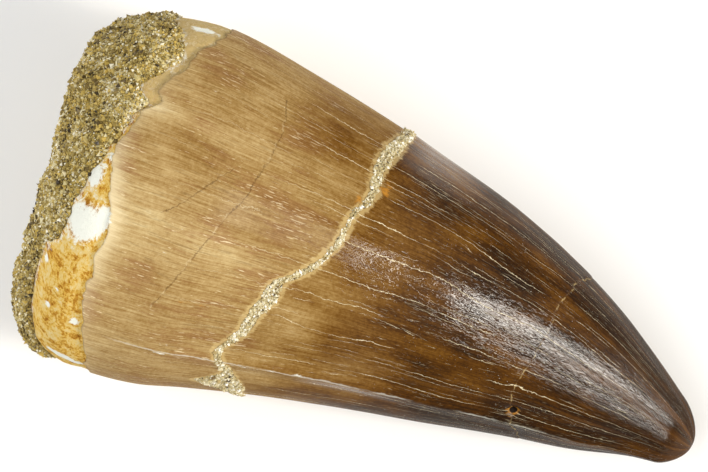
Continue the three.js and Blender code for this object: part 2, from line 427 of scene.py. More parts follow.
class Shader:
    """A material that is built node by node."""

    def __init__(self, name: str) -> None:
        """Start a material with nothing but its output."""
        self.material = bpy.data.materials.new(name)
        self.material.use_nodes = True
        self.tree = self.material.node_tree
        self.tree.nodes.clear()

    def node(self, kind: str, settings: dict, inputs: dict) -> bpy.types.Node:
        """Add a node.

        Args:
            kind: The node's type.
            settings: Its properties, which are set first. Stops set a colour ramp.
            inputs: Its inputs by name or number, each a value or a wire.

        Returns:
            The node.
        """
        node = self.tree.nodes.new(kind)
        for name, value in settings.items():
            if name == "stops":
                self.set_stops(node.color_ramp, value)
            else:
                setattr(node, name, value)
        for name, value in inputs.items():
            if isinstance(value, Wire):
                self.tree.links.new(value.socket, node.inputs[name])
            else:
                node.inputs[name].default_value = value
        return node

    def wire(self, kind: str, settings: dict, inputs: dict, output: str | int = 0) -> Wire:
        """Add a node and take one of its outputs."""
        return Wire(self, self.node(kind, settings, inputs).outputs[output])

    @staticmethod
    def set_stops(ramp: bpy.types.ColorRamp, stops: Stops) -> None:
        """Give a colour ramp its stops.

        Args:
            ramp: The ramp of a new node, which has two stops.
            stops: The stops that it gets, each a position and a colour.
        """
        while len(ramp.elements) < len(stops):
            ramp.elements.new(1)
        for element, (position, colour) in zip(ramp.elements, stops):
            element.position = position
            element.color = (*colour, 1)

    def attribute(self, name: str) -> Wire:
        """Read a vector that the mesh's points carry."""
        return self.wire("ShaderNodeAttribute", {"attribute_name": name}, {}, "Vector")

    def parts(self, vector: Wire) -> tuple[Wire, Wire, Wire]:
        """Take a vector apart."""
        node = self.node("ShaderNodeSeparateXYZ", {}, {0: vector})
        return Wire(self, node.outputs[0]), Wire(self, node.outputs[1]), Wire(self, node.outputs[2])

    def stretched(self, vector: Wire, scale: Triple, shift: Triple = (0, 0, 0)) -> Wire:
        """Scale and shift the space that a pattern is read in."""
        return self.wire("ShaderNodeMapping", {}, {"Vector": vector, "Scale": scale, "Location": shift})

    def noise(
        self, vector: Wire, scale: float = 1, detail: float = 2, rough: float = 0.5, warp: float = 0
    ) -> Wire:
        """Add fractal noise.

        Args:
            vector: The places that it is read at.
            scale: How fine it is.
            detail: How many finer layers it has.
            rough: How strong those are.
            warp: How much it is bent.

        Returns:
            Values from 0 to 1.
        """
        inputs = {
            "Vector": vector, "Scale": scale, "Detail": detail, "Roughness": rough, "Distortion": warp,
        }
        return self.wire("ShaderNodeTexNoise", {}, inputs)

    def ramp(self, value: Wire, stops: Stops) -> Wire:
        """Turn a value into a colour."""
        return self.wire("ShaderNodeValToRGB", {"stops": stops}, {"Fac": value})

    def mix(self, first: "Wire | Colour", second: "Wire | Colour", share: "Wire | float") -> Wire:
        """Mix two colours.

        Args:
            first: The colour where the share is 0.
            second: The colour where the share is 1.
            share: The second one's share.

        Returns:
            The mix.
        """
        first, second = ((*c, 1) if isinstance(c, tuple) else c for c in (first, second))
        settings = {"data_type": "RGBA", "blend_type": "MIX"}
        return self.wire("ShaderNodeMix", settings, {0: share, 6: first, 7: second}, 2)

    def surface(self, inputs: dict) -> Wire:
        """Add a surface, with its inputs by name."""
        return self.wire("ShaderNodeBsdfPrincipled", {}, inputs)

    def close(self, body: Wire) -> bpy.types.Material:
        """Give the material its surface and return it."""
        self.node("ShaderNodeOutputMaterial", {}, {"Surface": body})
        return self.material

    def bump(self, height: Wire, reach: float) -> Wire:
        """Bend the normals by a height, whose full range is reach millimetres."""
        inputs = {"Height": height, "Distance": reach * MM, "Strength": 1}
        return self.wire("ShaderNodeBump", {}, inputs)


def paint(red: int, green: int, blue: int) -> Colour:
    """Turn a colour as a screen shows it into the light that it reflects.

    Args:
        red: The red channel, from 0 to 255.
        green: The green channel.
        blue: The blue channel.

    Returns:
        The three shares of light.
    """

    def light(value: int) -> float:
        """Turn one channel."""
        share = value / 255
        return share / 12.92 if share <= 0.04045 else ((share + 0.055) / 1.055) ** 2.4

    return light(red), light(green), light(blue)


def spun_mesh(
    name: str, places: np.ndarray, marks: dict[str, np.ndarray], closes_on_itself: bool = False
) -> bpy.types.Mesh:
    """Spin a line of points round the X axis and move each point to its place.

    Args:
        name: The mesh's name.
        places: Where the points go, in metres, by ring and by step round.
        marks: Vectors that the points carry, by name, laid out as places is.
        closes_on_itself: Whether the line's ends meet, so that the mesh is a ring.

    Returns:
        The mesh.
    """
    rings, steps = places.shape[:2]
    shape = bmesh.new()
    line = [shape.verts.new((i, 0, 1)) for i in range(rings)]
    edges = [shape.edges.new(pair) for pair in zip(line, line[1:])]
    if closes_on_itself:
        edges.append(shape.edges.new((line[-1], line[0])))
    bmesh.ops.spin(
        shape, geom=line + edges, cent=(0, 0, 0), axis=(1, 0, 0), angle=math.tau, steps=steps,
        use_merge=True, use_duplicate=False,
    )
    mesh = bpy.data.meshes.new(name)
    shape.to_mesh(mesh)
    shape.free()
    spun = np.empty(len(mesh.vertices) * 3)
    mesh.vertices.foreach_get("co", spun)
    spun = spun.reshape(-1, 3)
    ring = np.rint(spun[:, 0]).astype(int)
    step = np.rint(np.arctan2(spun[:, 1], spun[:, 2]) / math.tau * steps).astype(int) % steps
    mesh.vertices.foreach_set("co", places[ring, step].ravel())
    for mark, values in marks.items():
        layer = mesh.attributes.new(mark, "FLOAT_VECTOR", "POINT")
        layer.data.foreach_set("vector", values[ring, step].ravel())
    shape = bmesh.new()
    shape.from_mesh(mesh)
    bmesh.ops.remove_doubles(shape, verts=shape.verts, dist=1e-7)
    bmesh.ops.recalc_face_normals(shape, faces=shape.faces)
    shape.to_mesh(mesh)
    shape.free()
    mesh.polygons.foreach_set("use_smooth", np.ones(len(mesh.polygons), dtype=bool))
    return mesh


def show(mesh: bpy.types.Mesh, material: bpy.types.Material, slot: str, *nodes: str) -> bpy.types.Object:
    """Put a mesh in the scene as a piece of the tooth.

    Args:
        mesh: The piece's mesh, which is named as the piece is.
        material: Its material.
        slot: Not used.
        nodes: The plain solids that it stands for.

    Returns:
        The piece.
    """
    piece = bpy.data.objects.new(mesh.name, mesh)
    bpy.context.scene.collection.objects.link(piece)
    mesh.materials.append(material)
    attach(piece, "root")
    if nodes:
        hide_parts(*nodes)
    LOG.info("%s: %d triangles", piece.name, sum(len(face.vertices) - 2 for face in mesh.polygons))
    return piece


@dataclass(frozen=True)
class Hairlines:
    """One kind of drying crack, from the long ones to the finest.

    Count is how many there are to each mapped line, hidden the share that doesn't show, strength
    how pale they are, and pace how often they break off along the tooth.
    """

    count: int
    half_width: float
    hidden: float
    strength: float
    pace: float


@dataclass(frozen=True)
class EnamelFinish:
    """Brown enamel over golden dentine, both stained by the sand that the tooth lay in."""

    tones: Stops = (
        (0.0, paint(213, 197, 155)),
        (0.16, paint(193, 169, 120)),
        (0.3, paint(174, 146, 97)),
        (0.44, paint(149, 118, 68)),
        (0.56, paint(126, 92, 43)),
        (0.68, paint(102, 67, 20)),
        (0.8, paint(76, 46, 12)),
        (0.9, paint(56, 33, 9)),
        (1.0, paint(36, 21, 8)),
    )
    dentine: Stops = (
        (0.28, paint(132, 82, 20)),
        (0.39, paint(186, 130, 42)),
        (0.47, paint(220, 178, 80)),
        (0.57, paint(236, 208, 124)),
        (0.68, paint(246, 232, 190)),
    )
    cream: Colour = paint(236, 218, 176)
    chalk: Colour = paint(240, 241, 229)
    dust: Colour = paint(218, 193, 134)
    hairline: Colour = paint(236, 222, 184)
    plum: Colour = paint(150, 108, 78)
    umber: Colour = paint(62, 38, 16)
    crack: Colour = paint(84, 58, 30)
    # Painted shade: the near-black colour painted in the middle of the deep pit.
    pit_shade: Colour = paint(24, 13, 5)
    amber: Colour = paint(196, 134, 46)
    gloss: float = 0.1
    gloss_ior: float = 1.47
    rubbed_rough: float = 0.8
    rubbed_ior: float = 1.05
    relief: float = 0.03
    ragged_grain: Triple = (1.2, 2.6, 2.6)
    broad_grain: Triple = (0.16, 0.26, 0.26)
    band_grain: Triple = (0.1, 1.2, 1.2)
    fibre_grain: Triple = (0.3, 8, 8)
    dash_grain: Triple = (0.9, 9, 9)
    stroke_grain: Triple = (0.5, 8.5, 8.5)
    ridge_grain: Triple = (0.25, 2.6, 2.6)
    fold_grain: Triple = (1.4, 4.2, 4.2)
    pit_grain: Triple = (3.2, 5, 5)
    hairlines: tuple[Hairlines, ...] = (
        Hairlines(1, 0.014, 0.42, 0.95, 0.09),
        Hairlines(2, 0.021, 0.5, 0.7, 0.24),
        Hairlines(5, 0.036, 0.55, 0.5, 0.5),
    )

    def material(self) -> bpy.types.Material:
        """Make the material.

        Returns:
            The material, which reads the marks that the crown's points carry.
        """
        shader = Shader("fossil_enamel")
        flow = shader.attribute("flow")
        x, side, _ = shader.parts(flow)
        from_enamel, from_rock, from_break = shader.parts(shader.attribute("zones"))
        tone, white, gold = shader.parts(shader.attribute("marks"))
        cracks = shader.parts(shader.attribute("cracks"))
        ragged = shader.noise(shader.stretched(flow, self.ragged_grain), detail=6, rough=0.7)
        colour = self.streaked(shader, flow, tone, from_enamel)
        halo = (abs(from_break) + (ragged - 0.5) * 1.6).rise(0.35, 0.05)
        colour = shader.mix(colour, self.dust, halo * 0.45)
        colour, hairlines = self.with_hairlines(shader, flow, x, tone, colour)
        colour = self.with_cracks(shader, flow, colour, cracks)
        worn = self.worn(shader, flow, x, white, ragged)
        colour = shader.mix(colour, self.chalk, worn * 0.9)
        amber = (gold + (ragged - 0.5) * 1.6).rise(0.35, 0.75)
        colour = shader.mix(colour, self.amber, amber * 0.7)
        # Painted shade: the middle of the deep pit, where the gold mark is strongest, is painted
        # near-black; it is also made rough.
        pit_shade = gold.rise(0.7, 0.8)
        colour = shader.mix(colour, self.pit_shade, pit_shade)
        bone, grit = self.bone(shader, flow, white, from_rock)
        edge = (from_enamel + (ragged - 0.5) * 0.6).rise(-0.05, 0.08)
        colour = shader.mix(bone, colour, edge)
        folds = self.wrinkles(shader, flow, x)
        height = (folds - hairlines * 0.4 + worn * 0.6) * edge + grit * (1 - edge)
        dull = (1 - tone).rise(0.35, 0.75) * 0.2
        rough = self.gloss + dull + worn * 0.3 + (1 - edge) * 0.4 + pit_shade * 0.6
        surface = {"Base Color": colour, "Normal": shader.bump(height, self.relief)}
        glossy = shader.surface({**surface, "Roughness": rough, "IOR": self.gloss_ior})
        matt = shader.surface({**surface, "Roughness": self.rubbed_rough, "IOR": self.rubbed_ior})
        share = self.rubbed(shader, x, side)
        return shader.close(shader.wire("ShaderNodeMixShader", {}, {0: share, 1: glossy, 2: matt}))

    def rubbed(self, shader: Shader, x: Wire, side: Wire) -> Wire:
        """Find where the polish is rubbed off: the flanks, the pale half, the tip and below the keel.

        Args:
            shader: The material.
            x: The distance from the base.
            side: The distance across the straightened tooth.

        Returns:
            How dull the enamel is, from 0 to 1.
        """
        lower, _, _ = shader.parts(shader.wire("ShaderNodeUVMap", {"uv_map": "keels"}, {}))
        below_keel = lower.rise(0.5, 1.8) * 0.8
        flanks = side.rise(4.5, 7.5).most(side.rise(-1.5, -4.5)) * x.rise(32, 40) * 0.72
        pale_half = x.rise(33, 28) * 0.88
        tip = x.rise(60.5, 63) * 0.6
        return below_keel.most(flanks).most(pale_half).most(tip)

    def streaked(
        self, shader: Shader, flow: Wire, tone: Wire, from_enamel: Wire
    ) -> Wire:
        """Colour the enamel with streaks that run to the tip.

        Args:
            shader: The material.
            flow: Places on the straightened tooth.
            tone: How dark the enamel is, from 0 to 1.
            from_enamel: The distance from the enamel's edge.

        Returns:
            The colour.
        """
        broad = shader.noise(shader.stretched(flow, self.broad_grain), detail=4)
        bands = shader.noise(shader.stretched(flow, self.band_grain, (3, 0, 0)), detail=5, rough=0.65)
        fibres = shader.noise(shader.stretched(flow, self.fibre_grain), detail=4, rough=0.75, warp=0.3)
        grain = shader.noise(flow, scale=3.4, detail=4, rough=0.7)
        dashes = shader.noise(shader.stretched(flow, self.dash_grain, (9, 4, 0)), detail=2, rough=0.6)
        pale = (1 - tone).rise(0.35, 0.75)
        deep = tone.rise(0.36, 0.6)
        spread = (bands - 0.5) * 0.4 + (broad - 0.5) * (deep * 0.2 + 0.45)
        spread = spread + (fibres - 0.5) * (0.7 - deep * 0.25) + (grain - 0.5) * 0.34
        colour = shader.ramp(tone + spread, self.tones)
        plum = (broad + (bands - 0.5) * 0.7 + (fibres - 0.5) * 0.5).rise(0.5, 0.66) * pale
        colour = shader.mix(colour, self.plum, plum * 0.42)
        strokes = shader.noise(shader.stretched(flow, self.stroke_grain, (5, 2, 7)), detail=3, rough=0.6)
        dark = (strokes + (bands - 0.5) * 0.6).rise(0.43, 0.31)
        colour = shader.mix(colour, self.umber, dark * (0.24 - deep * 0.12))
        bright = (dashes + (bands - 0.5) * 0.4 + (broad - 0.5) * 0.5).rise(0.66, 0.74)
        colour = shader.mix(colour, self.cream, bright * (pale * 0.6 + 0.12))
        rim = (from_enamel + (bands - 0.5) * 3.4 + (fibres - 0.5) * 2.2).rise(2.3, 0.3)
        return shader.mix(colour, self.cream, rim * (1 - tone).rise(0.62, 0.84) * 0.6)

    def with_hairlines(
        self, shader: Shader, flow: Wire, x: Wire, tone: Wire, colour: Wire
    ) -> tuple[Wire, Wire]:
        """Draw the pale drying cracks that run along the crown.

        Args:
            shader: The material.
            flow: Places on the straightened tooth.
            x: The distance from the base.
            tone: How dark the enamel is.
            colour: The enamel's colour.

        Returns:
            The colour with the cracks, and the cracks alone.
        """
        lines = shader.wire("ShaderNodeUVMap", {"uv_map": "lines"}, {})
        _, number, _ = shader.parts(lines)
        sway = shader.noise(shader.stretched(flow, (0.1, 0.3, 0.3)), detail=1)
        jog = shader.noise(shader.stretched(flow, (1.0, 1.2, 1.2)), detail=4, rough=0.72)
        drawn = None
        for kind in self.hairlines:
            count = kind.count
            place = number * count + (sway - 0.5) * 0.8 * count + (jog - 0.5) * (0.12 + 0.14 * count)
            index = place.maths("FLOOR").maths("WRAP", 31.0 * count, 0.0)
            seed = {0: x * kind.pace, 1: index * 3.7, 2: count * 9.0}
            pattern = shader.noise(shader.wire("ShaderNodeCombineXYZ", {}, seed), detail=3, rough=0.65)
            shown = pattern.rise(kind.hidden, kind.hidden + 0.12)
            near = abs(place.maths("FRACT") - 0.5).rise(kind.half_width, kind.half_width * 0.3)
            line = near * shown * kind.strength
            drawn = line if drawn is None else drawn.most(line)
        drawn = drawn * (tone + x * 0.012).rise(0.42, 1.0) * x.rise(64, 56)
        return shader.mix(colour, self.hairline, drawn * 0.9), drawn

    def with_cracks(
        self, shader: Shader, flow: Wire, colour: Wire, distances: tuple[Wire, Wire, Wire]
    ) -> Wire:
        """Draw the fine dark cracks and the hairline break across the crown.

        Args:
            shader: The material.
            flow: Places on the straightened tooth.
            colour: The enamel's colour.
            distances: How far it is to each of the three, in millimetres.

        Returns:
            The colour with them.
        """
        wander = (shader.noise(flow, scale=1.3, detail=5, rough=0.75) - 0.5) * 1.1
        strength = shader.noise(flow, scale=1.1, detail=3)
        for distance in distances[:2]:
            near = abs(distance + wander).rise(0.09, 0.02)
            colour = shader.mix(colour, self.crack, near * strength.rise(0.32, 0.58) * 0.6)
            pale = abs(distance + wander + 0.1).rise(0.1, 0.02)
            colour = shader.mix(colour, self.cream, pale * strength.rise(0.5, 0.3) * 0.3)
        near = abs(distances[2] + wander * 0.4).rise(0.08, 0.03)
        colour = shader.mix(colour, self.dust, near * strength.rise(0.45, 0.65) * 0.35)
        near = abs(distances[2] + wander * 0.4 + 0.07).rise(0.07, 0.02)
        return shader.mix(colour, self.crack, near * strength.rise(0.6, 0.4) * 0.6)

    def worn(self, shader: Shader, flow: Wire, x: Wire, white: Wire, ragged: Wire) -> Wire:
        """Find where the enamel is worn or dusted white.

        Args:
            shader: The material.
            flow: Places on the straightened tooth.
            x: The distance from the base.
            white: How chalky the crown is there.
            ragged: A rough pattern that frays the edges.

        Returns:
            How white it is, from 0 to 1.
        """
        keels = shader.wire("ShaderNodeUVMap", {"uv_map": "keels"}, {})
        lower, upper, _ = shader.parts(keels)
        patches = shader.noise(shader.stretched(flow, (0.35, 0.6, 0.6)), detail=3)
        wander = (ragged - 0.5) * 0.5
        low_line = abs(lower + wander).rise(0.13, 0.03) * patches.rise(0.36, 0.56)
        high_line = abs(upper + wander).rise(0.11, 0.04) * patches.rise(0.42, 0.6)
        keel_lines = (low_line * 0.4).most(high_line * 0.45) * x.rise(11, 15) * x.rise(60, 44)
        dust = shader.noise(flow, scale=6.5, detail=1)
        specks = (dust + (patches - 0.5) * 0.35).rise(0.76, 0.8) * x.rise(30, 44) * 0.5
        streaks = shader.noise(shader.stretched(flow, (0.7, 6, 6)), detail=2)
        rough = white + (ragged - 0.5) * 1.6 + (streaks - 0.5) * 1.6
        return rough.rise(0.5, 0.85).most(keel_lines).most(specks)

    def bone(self, shader: Shader, flow: Wire, white: Wire, from_rock: Wire) -> tuple[Wire, Wire]:
        """Colour the bare dentine below the enamel.

        Args:
            shader: The material.
            flow: Places on the straightened tooth.
            white: How chalky it is.
            from_rock: The distance from the rock's edge.

        Returns:
            The colour, and the height of its grain.
        """
        cloud = shader.noise(flow, scale=1.1, detail=7, rough=0.75, warp=0.5)
        grit = shader.noise(flow, scale=4.2, detail=4, rough=0.75)
        colour = shader.ramp((cloud - 0.5) * 0.95 + (grit - 0.5) * 0.5 + 0.48, self.dentine)
        _, side, _ = shader.parts(flow)
        dusty = shader.ramp((cloud - 0.5) * 2.2 + (grit - 0.5) * 1.6 + 0.2, self.tones)
        colour = shader.mix(colour, dusty, (side + (cloud - 0.5) * 8).rise(2.5, 7.5) * 0.85)
        colour = shader.mix(colour, self.dust, (cloud + grit * 0.4).rise(0.68, 0.8) * 0.7)
        rim = (from_rock + (cloud - 0.5) * 2.4).rise(0.3, 0.1) * (grit.rise(0.42, 0.56))
        chalky = (white + (cloud - 0.5) * 1.5 + (grit - 0.5) * 0.7).rise(0.36, 0.66)
        return shader.mix(colour, self.chalk, chalky.most(rim * 0.7)), grit * 4.0 + cloud * 3.0

    def wrinkles(self, shader: Shader, flow: Wire, x: Wire) -> Wire:
        """Give the height of the fine ridges and of the worm-like wrinkles of the upper crown.

        Args:
            shader: The material.
            flow: Places on the straightened tooth.
            x: The distance from the base.

        Returns:
            The height, from 0 to about 1.
        """
        ridges = shader.noise(shader.stretched(flow, self.ridge_grain), detail=1)
        folds = shader.noise(shader.stretched(flow, self.fold_grain), detail=1, warp=1.0)
        pits = shader.noise(shader.stretched(flow, self.pit_grain), detail=0)
        wrinkled = (abs(folds - 0.5) * 1.15 + pits * 0.15) * x.rise(10, 44)
        return ridges * (0.35 - x.rise(30, 48) * 0.22) + wrinkled


@dataclass(frozen=True)
class SandFinish:
    """Sand: a matt ground of packed grains, or loose grains that each have a colour of their own."""

    name: str
    grains: Stops
    grain_size: float
    # Painted shade: the dark colour painted between the packed grains and into the hollows of the sand.
    hollow: Colour = paint(40, 26, 12)
    dust: Colour = paint(226, 216, 190)
    ground_speck: float = 5200
    grain_speck: float = 7000
    relief: float = 0.16

    def ground_material(self) -> bpy.types.Material:
        """Make the material of what holds the loose grains.

        Returns:
            The material.
        """
        shader = Shader(f"{self.name}_ground")
        hollow, cloud, _ = shader.parts(shader.attribute("sand"))
        place = shader.wire("ShaderNodeTexCoord", {}, {}, "Object")
        cells = {"Vector": place, "Scale": 1 / (self.grain_size * MM), "Randomness": 1.0}
        packed = shader.node("ShaderNodeTexVoronoi", {"feature": "F1"}, cells)
        kind, _, _ = shader.parts(Wire(shader, packed.outputs["Color"]))
        dome = 1 - Wire(shader, packed.outputs["Distance"])
        speck = shader.noise(place, scale=self.ground_speck, detail=2)
        tone = kind * 0.7 + (cloud - 0.5) * 0.35 + (speck - 0.5) * 0.3 + 0.12
        colour = shader.ramp(tone, self.grains)
        colour = shader.mix(colour, self.dust, (cloud + (speck - 0.5) * 0.8).rise(0.62, 0.95) * 0.5)
        # Painted shade between the packed grains, darker towards the edge of each cell.
        colour = shader.mix(colour, self.hollow, dome.rise(0.45, 0.2) * 0.5)
        # Painted shade in the sunk hollows of the sand in the break.
        colour = shader.mix(colour, self.hollow, hollow.rise(0.15, 0.5))
        normal = shader.bump(dome + speck * 0.3, self.relief)
        return shader.close(shader.surface({"Base Color": colour, "Roughness": 0.85, "Normal": normal}))

    def grain_material(self) -> bpy.types.Material:
        """Make the material of the loose grains.

        Returns:
            The material.
        """
        shader = Shader(f"{self.name}_grains")
        tone, shine, _ = shader.parts(shader.attribute("grain"))
        place = shader.wire("ShaderNodeTexCoord", {}, {}, "Object")
        speck = shader.noise(place, scale=self.grain_speck, detail=2)
        colour = shader.ramp(tone + (speck - 0.5) * 0.16, self.grains)
        return shader.close(shader.surface({"Base Color": colour, "Roughness": 0.8 - shine * 0.55}))


class Sand(Enum):
    """The two sands on the tooth."""

    ROCK = SandFinish(
        "rock",
        (
            (0.0, paint(52, 40, 16)), (0.14, paint(98, 79, 32)), (0.32, paint(141, 119, 55)),
            (0.46, paint(168, 147, 79)), (0.58, paint(196, 166, 76)), (0.7, paint(197, 182, 124)),
            (0.84, paint(220, 209, 168)), (1.0, paint(242, 237, 216)),
        ),
        0.2,
    )
    SEAM = SandFinish(
        "seam",
        (
            (0.0, paint(64, 50, 26)), (0.1, paint(128, 105, 60)), (0.28, paint(170, 149, 96)),
            (0.5, paint(196, 182, 137)), (0.7, paint(214, 204, 168)), (0.88, paint(234, 228, 206)),
            (1.0, paint(250, 248, 240)),
        ),
        0.15,
    )


@dataclass
class Crown:
    """The crown: brown enamel, the bare dentine below it and the groove of the wide break."""

    shape: ToothShape
    steps: int = 320
    rings: dict[str, int] = field(
        default_factory=lambda: {
            "end": 6, "dentine": 24, "lower": 84, "upper": 92, "top": 52, "cap": 15,
        }
    )
    roll: float = 12
    # How far the sand has shut the break from each side, as a share of its width.
    fill: Stations = (
        (0, 0.14), (30, 0.14), (48, 0.2), (60, 0.28), (90, 0.3), (101, 0.18), (112, 0.12), (126, 0.2),
        (137, 0.24), (148, 0.14), (156, 0.06), (163, 0.06), (172, 0.14), (300, 0.14),
    )
    line_angles: tuple[float, ...] = (
        4, 14, 24, 33, 42, 50, 58, 70, 82, 95, 106, 118, 127, 137, 147, 158, 170, 183, 195, 206, 220,
        232, 246, 259, 271, 284, 297, 310, 322, 334, 346,
    )
    # How dark the enamel is along the tooth.
    tones: Stations = (
        (3, 0.3), (9, 0.34), (12, 0.37), (16, 0.38), (20, 0.38), (24, 0.43), (28, 0.51), (32, 0.64),
        (36, 0.73), (40, 0.81), (44, 0.86), (48, 0.89), (52, 0.91), (60, 0.93), (64.4, 0.84),
    )
    tone_spots: tuple[Spot, ...] = (
        Spot(26.4, 38, 5, 5, 0.15), Spot(19.5, 35, 6, 6, 0.08), Spot(11.5, 45, 5, 6, 0.04),
        Spot(30.4, 118, 4, 3, 0.06), Spot(16.5, 98, 4, 1.6, -0.07), Spot(21, 103, 3, 1.4, -0.05),
        Spot(19.5, 86, 3, 2.4, 0.07), Spot(11.2, 73, 4.5, 2.6, 0.1), Spot(12.5, 63, 5, 0.7, -0.12),
        Spot(15.5, 97, 5, 1, -0.07),
    )
    white_spots: tuple[Spot, ...] = (
        Spot(6.1, 106, 1.7, 2.1, 1.1), Spot(7.8, 101, 0.8, 1.3, 0.7), Spot(5.5, 90, 0.8, 1.2, 1),
        Spot(6.3, 83, 0.5, 0.8, 0.6), Spot(6, 142, 0.34, 0.44, 1), Spot(8.8, 141, 0.5, 0.55, 1),
        Spot(4.3, 129, 0.4, 0.5, 0.8), Spot(6.3, 132.5, 0.25, 0.25, 0.8), Spot(8, 168, 0.9, 0.8, 0.9),
        Spot(9.4, 167, 0.9, 0.7, 1), Spot(10.5, 168, 0.6, 0.5, 0.9), Spot(9.3, 18, 1.5, 0.8, 0.9),
        Spot(16.4, 143, 2, 0.12, 0.66), Spot(19.8, 142.2, 1.9, 0.13, 0.7),
        Spot(23.6, 142.6, 0.9, 0.2, 0.66), Spot(26.2, 142.3, 1.9, 0.24, 0.6),
        Spot(29.4, 141.8, 1.5, 0.12, 0.6), Spot(19.3, 150, 0.34, 0.24, 0.6),
        Spot(17.4, 138.5, 0.9, 0.1, 0.7), Spot(18.6, 110.5, 0.6, 0.3, 0.4), Spot(40.5, 51, 0.3, 0.12, 0.7),
        Spot(48, 54, 0.4, 0.12, 0.7), Spot(39, 50, 0.25, 0.12, 0.7), Spot(6.4, 250, 1.2, 2, 0.8),
        Spot(6, 310, 1, 1.5, 0.8),
    )
    gold_spots: tuple[Spot, ...] = (
        Spot(29.9, 55, 0.6, 1.1, 0.66), Spot(27.9, 64, 0.4, 1, 0.6), Spot(17.6, 119, 2.4, 0.4, 0.4),
        Spot(49.6, 20, 0.35, 0.4, 0.6), Spot(48.15, 135.8, 0.6, 0.6, 1.1), Spot(64.8, 150, 0.7, 1.2, 0.5),
        Spot(24.2, 163, 0.7, 0.5, 0.6),
    )
    # How pale the enamel's lower rim is, round the tooth.
    rim: Stations = (
        (0, 0.2), (45, 0.2), (75, 0.5), (95, 1.1), (112, 0.8), (130, 0.4), (160, 0.2), (240, 0.4),
    )
    first_crack: Stations = (
        (38, 18.5), (48, 19.2), (56, 19.4), (63, 19.3), (70, 19), (80, 18.5), (87, 17.8), (94, 17.2),
        (107, 16.1), (116, 15.3), (125, 14.6),
    )
    second_crack: Stations = ((71, 16.9), (78, 15.5), (87, 13.9), (94, 12.1))
    pits: tuple[Spot, ...] = (
        Spot(48.15, 135.8, 0.42, 0.42, -0.6), Spot(49.6, 20, 0.3, 0.5, -0.14),
        Spot(49.3, 164, 0.3, 1.6, -0.22), Spot(39, 50, 0.3, 0.2, -0.06), Spot(40.5, 51, 0.3, 0.2, -0.06),
    )
    crest_height: float = 0.16
    crest_width: float = 0.25
    scar_depth: float = 0.06
    scar_width: float = 0.1

    def rows(self, angle: np.ndarray) -> np.ndarray:
        """Lay out the rings of the crown's side, so that its lines and edges are crisp.

        Args:
            angle: The angles round the tooth.

        Returns:
            The x of each ring at each angle.
        """
        shape = self.shape
        enamel = self.enamel_edge(angle)
        lips = [self.lip(side, angle) for side in (-1, 1)]
        second = self.second_break(angle)
        cap = np.full_like(angle, shape.tip_x - shape.tip_cap)
        lines = (
            (shape.base_edge(angle), self.rings["dentine"]),
            (enamel - 0.1, 2),
            (enamel + 0.06, self.rings["lower"]),
            (lips[0] - 0.12, 2),
            (lips[0], 2),
            (lips[0] + 0.1, 1),
            (lips[1] - 0.1, 2),
            (lips[1], 2),
            (lips[1] + 0.12, self.rings["upper"]),
            (second - 0.14, 1),
            (second, 1),
            (second + 0.14, self.rings["top"]),
        )
        rows = []
        for (start, count), end in zip(lines, [line for line, _ in lines[1:]] + [cap]):
            rows += [start + (end - start) * i / count for i in range(count)]
        return np.array(rows)

    def stray(self, angle: np.ndarray, row: float, *kinds: tuple[float, float]) -> np.ndarray:
        """Give how far a line round the tooth strays, by noise of several reaches and sizes."""
        flow = self.straightened(np.full_like(angle, row), angle)
        return sum(reach * lumps(flow, size) for reach, size in kinds)

    def enamel_edge(self, angle: np.ndarray) -> np.ndarray:
        """Give the x of the enamel's ragged edge."""
        stray = self.stray(angle, 9, (0.34, 1.4), (0.24, 0.5), (0.12, 0.22))
        return around(self.shape.enamel_line, angle) + stray

    def second_break(self, angle: np.ndarray) -> np.ndarray:
        """Give the x of the hairline break near the tip."""
        return around(self.shape.second_break, angle) + self.stray(angle, 48, (0.2, 1.6), (0.1, 0.6))

    def lip(self, side: int, angle: np.ndarray) -> np.ndarray:
        """Give the x of a lip of the wide break.

        Args:
            side: The lip: -1 towards the base or 1 towards the tip.
            angle: The angles round the tooth.

        Returns:
            The x of the lip there.
        """
        stray = self.stray(angle, 30 * side, (0.2, 1.5), (0.16, 0.6), (0.1, 0.25))
        shut = around(self.fill, angle) * around(self.shape.break_width, angle)
        return self.shape.break_edge(side, angle) + stray - side * shut

    def straightened(self, x: np.ndarray, angle: np.ndarray) -> np.ndarray:
        """Move places on the tooth to a straight rod, so that patterns on it run to the tip.

        Args:
            x: The places along the tooth.
            angle: The angles round it.

        Returns:
            The same places on the rod.
        """
        turn = np.radians(angle)
        y = self.roll * np.cos(turn)
        z = self.roll * np.sin(turn)
        return np.stack(np.broadcast_arrays(x, y, z), axis=-1)

    def spread(self, spots: tuple[Spot, ...], x: np.ndarray, angle: np.ndarray) -> np.ndarray:
        """Add up soft spots.

        Args:
            spots: The spots.
            x: The places along the tooth.
            angle: The angles round it.

        Returns:
            How strong they are together at each place.
        """
        half_width = self.shape.section(x)[2]
        total = np.zeros(np.broadcast(x, angle).shape)
        for spot in spots:
            arc = np.radians(turn_between(angle, spot.angle)) * half_width
            off = ((x - spot.x) / spot.length) ** 2 + (arc / spot.width) ** 2
            total += spot.amount * np.exp(-off)
        return total

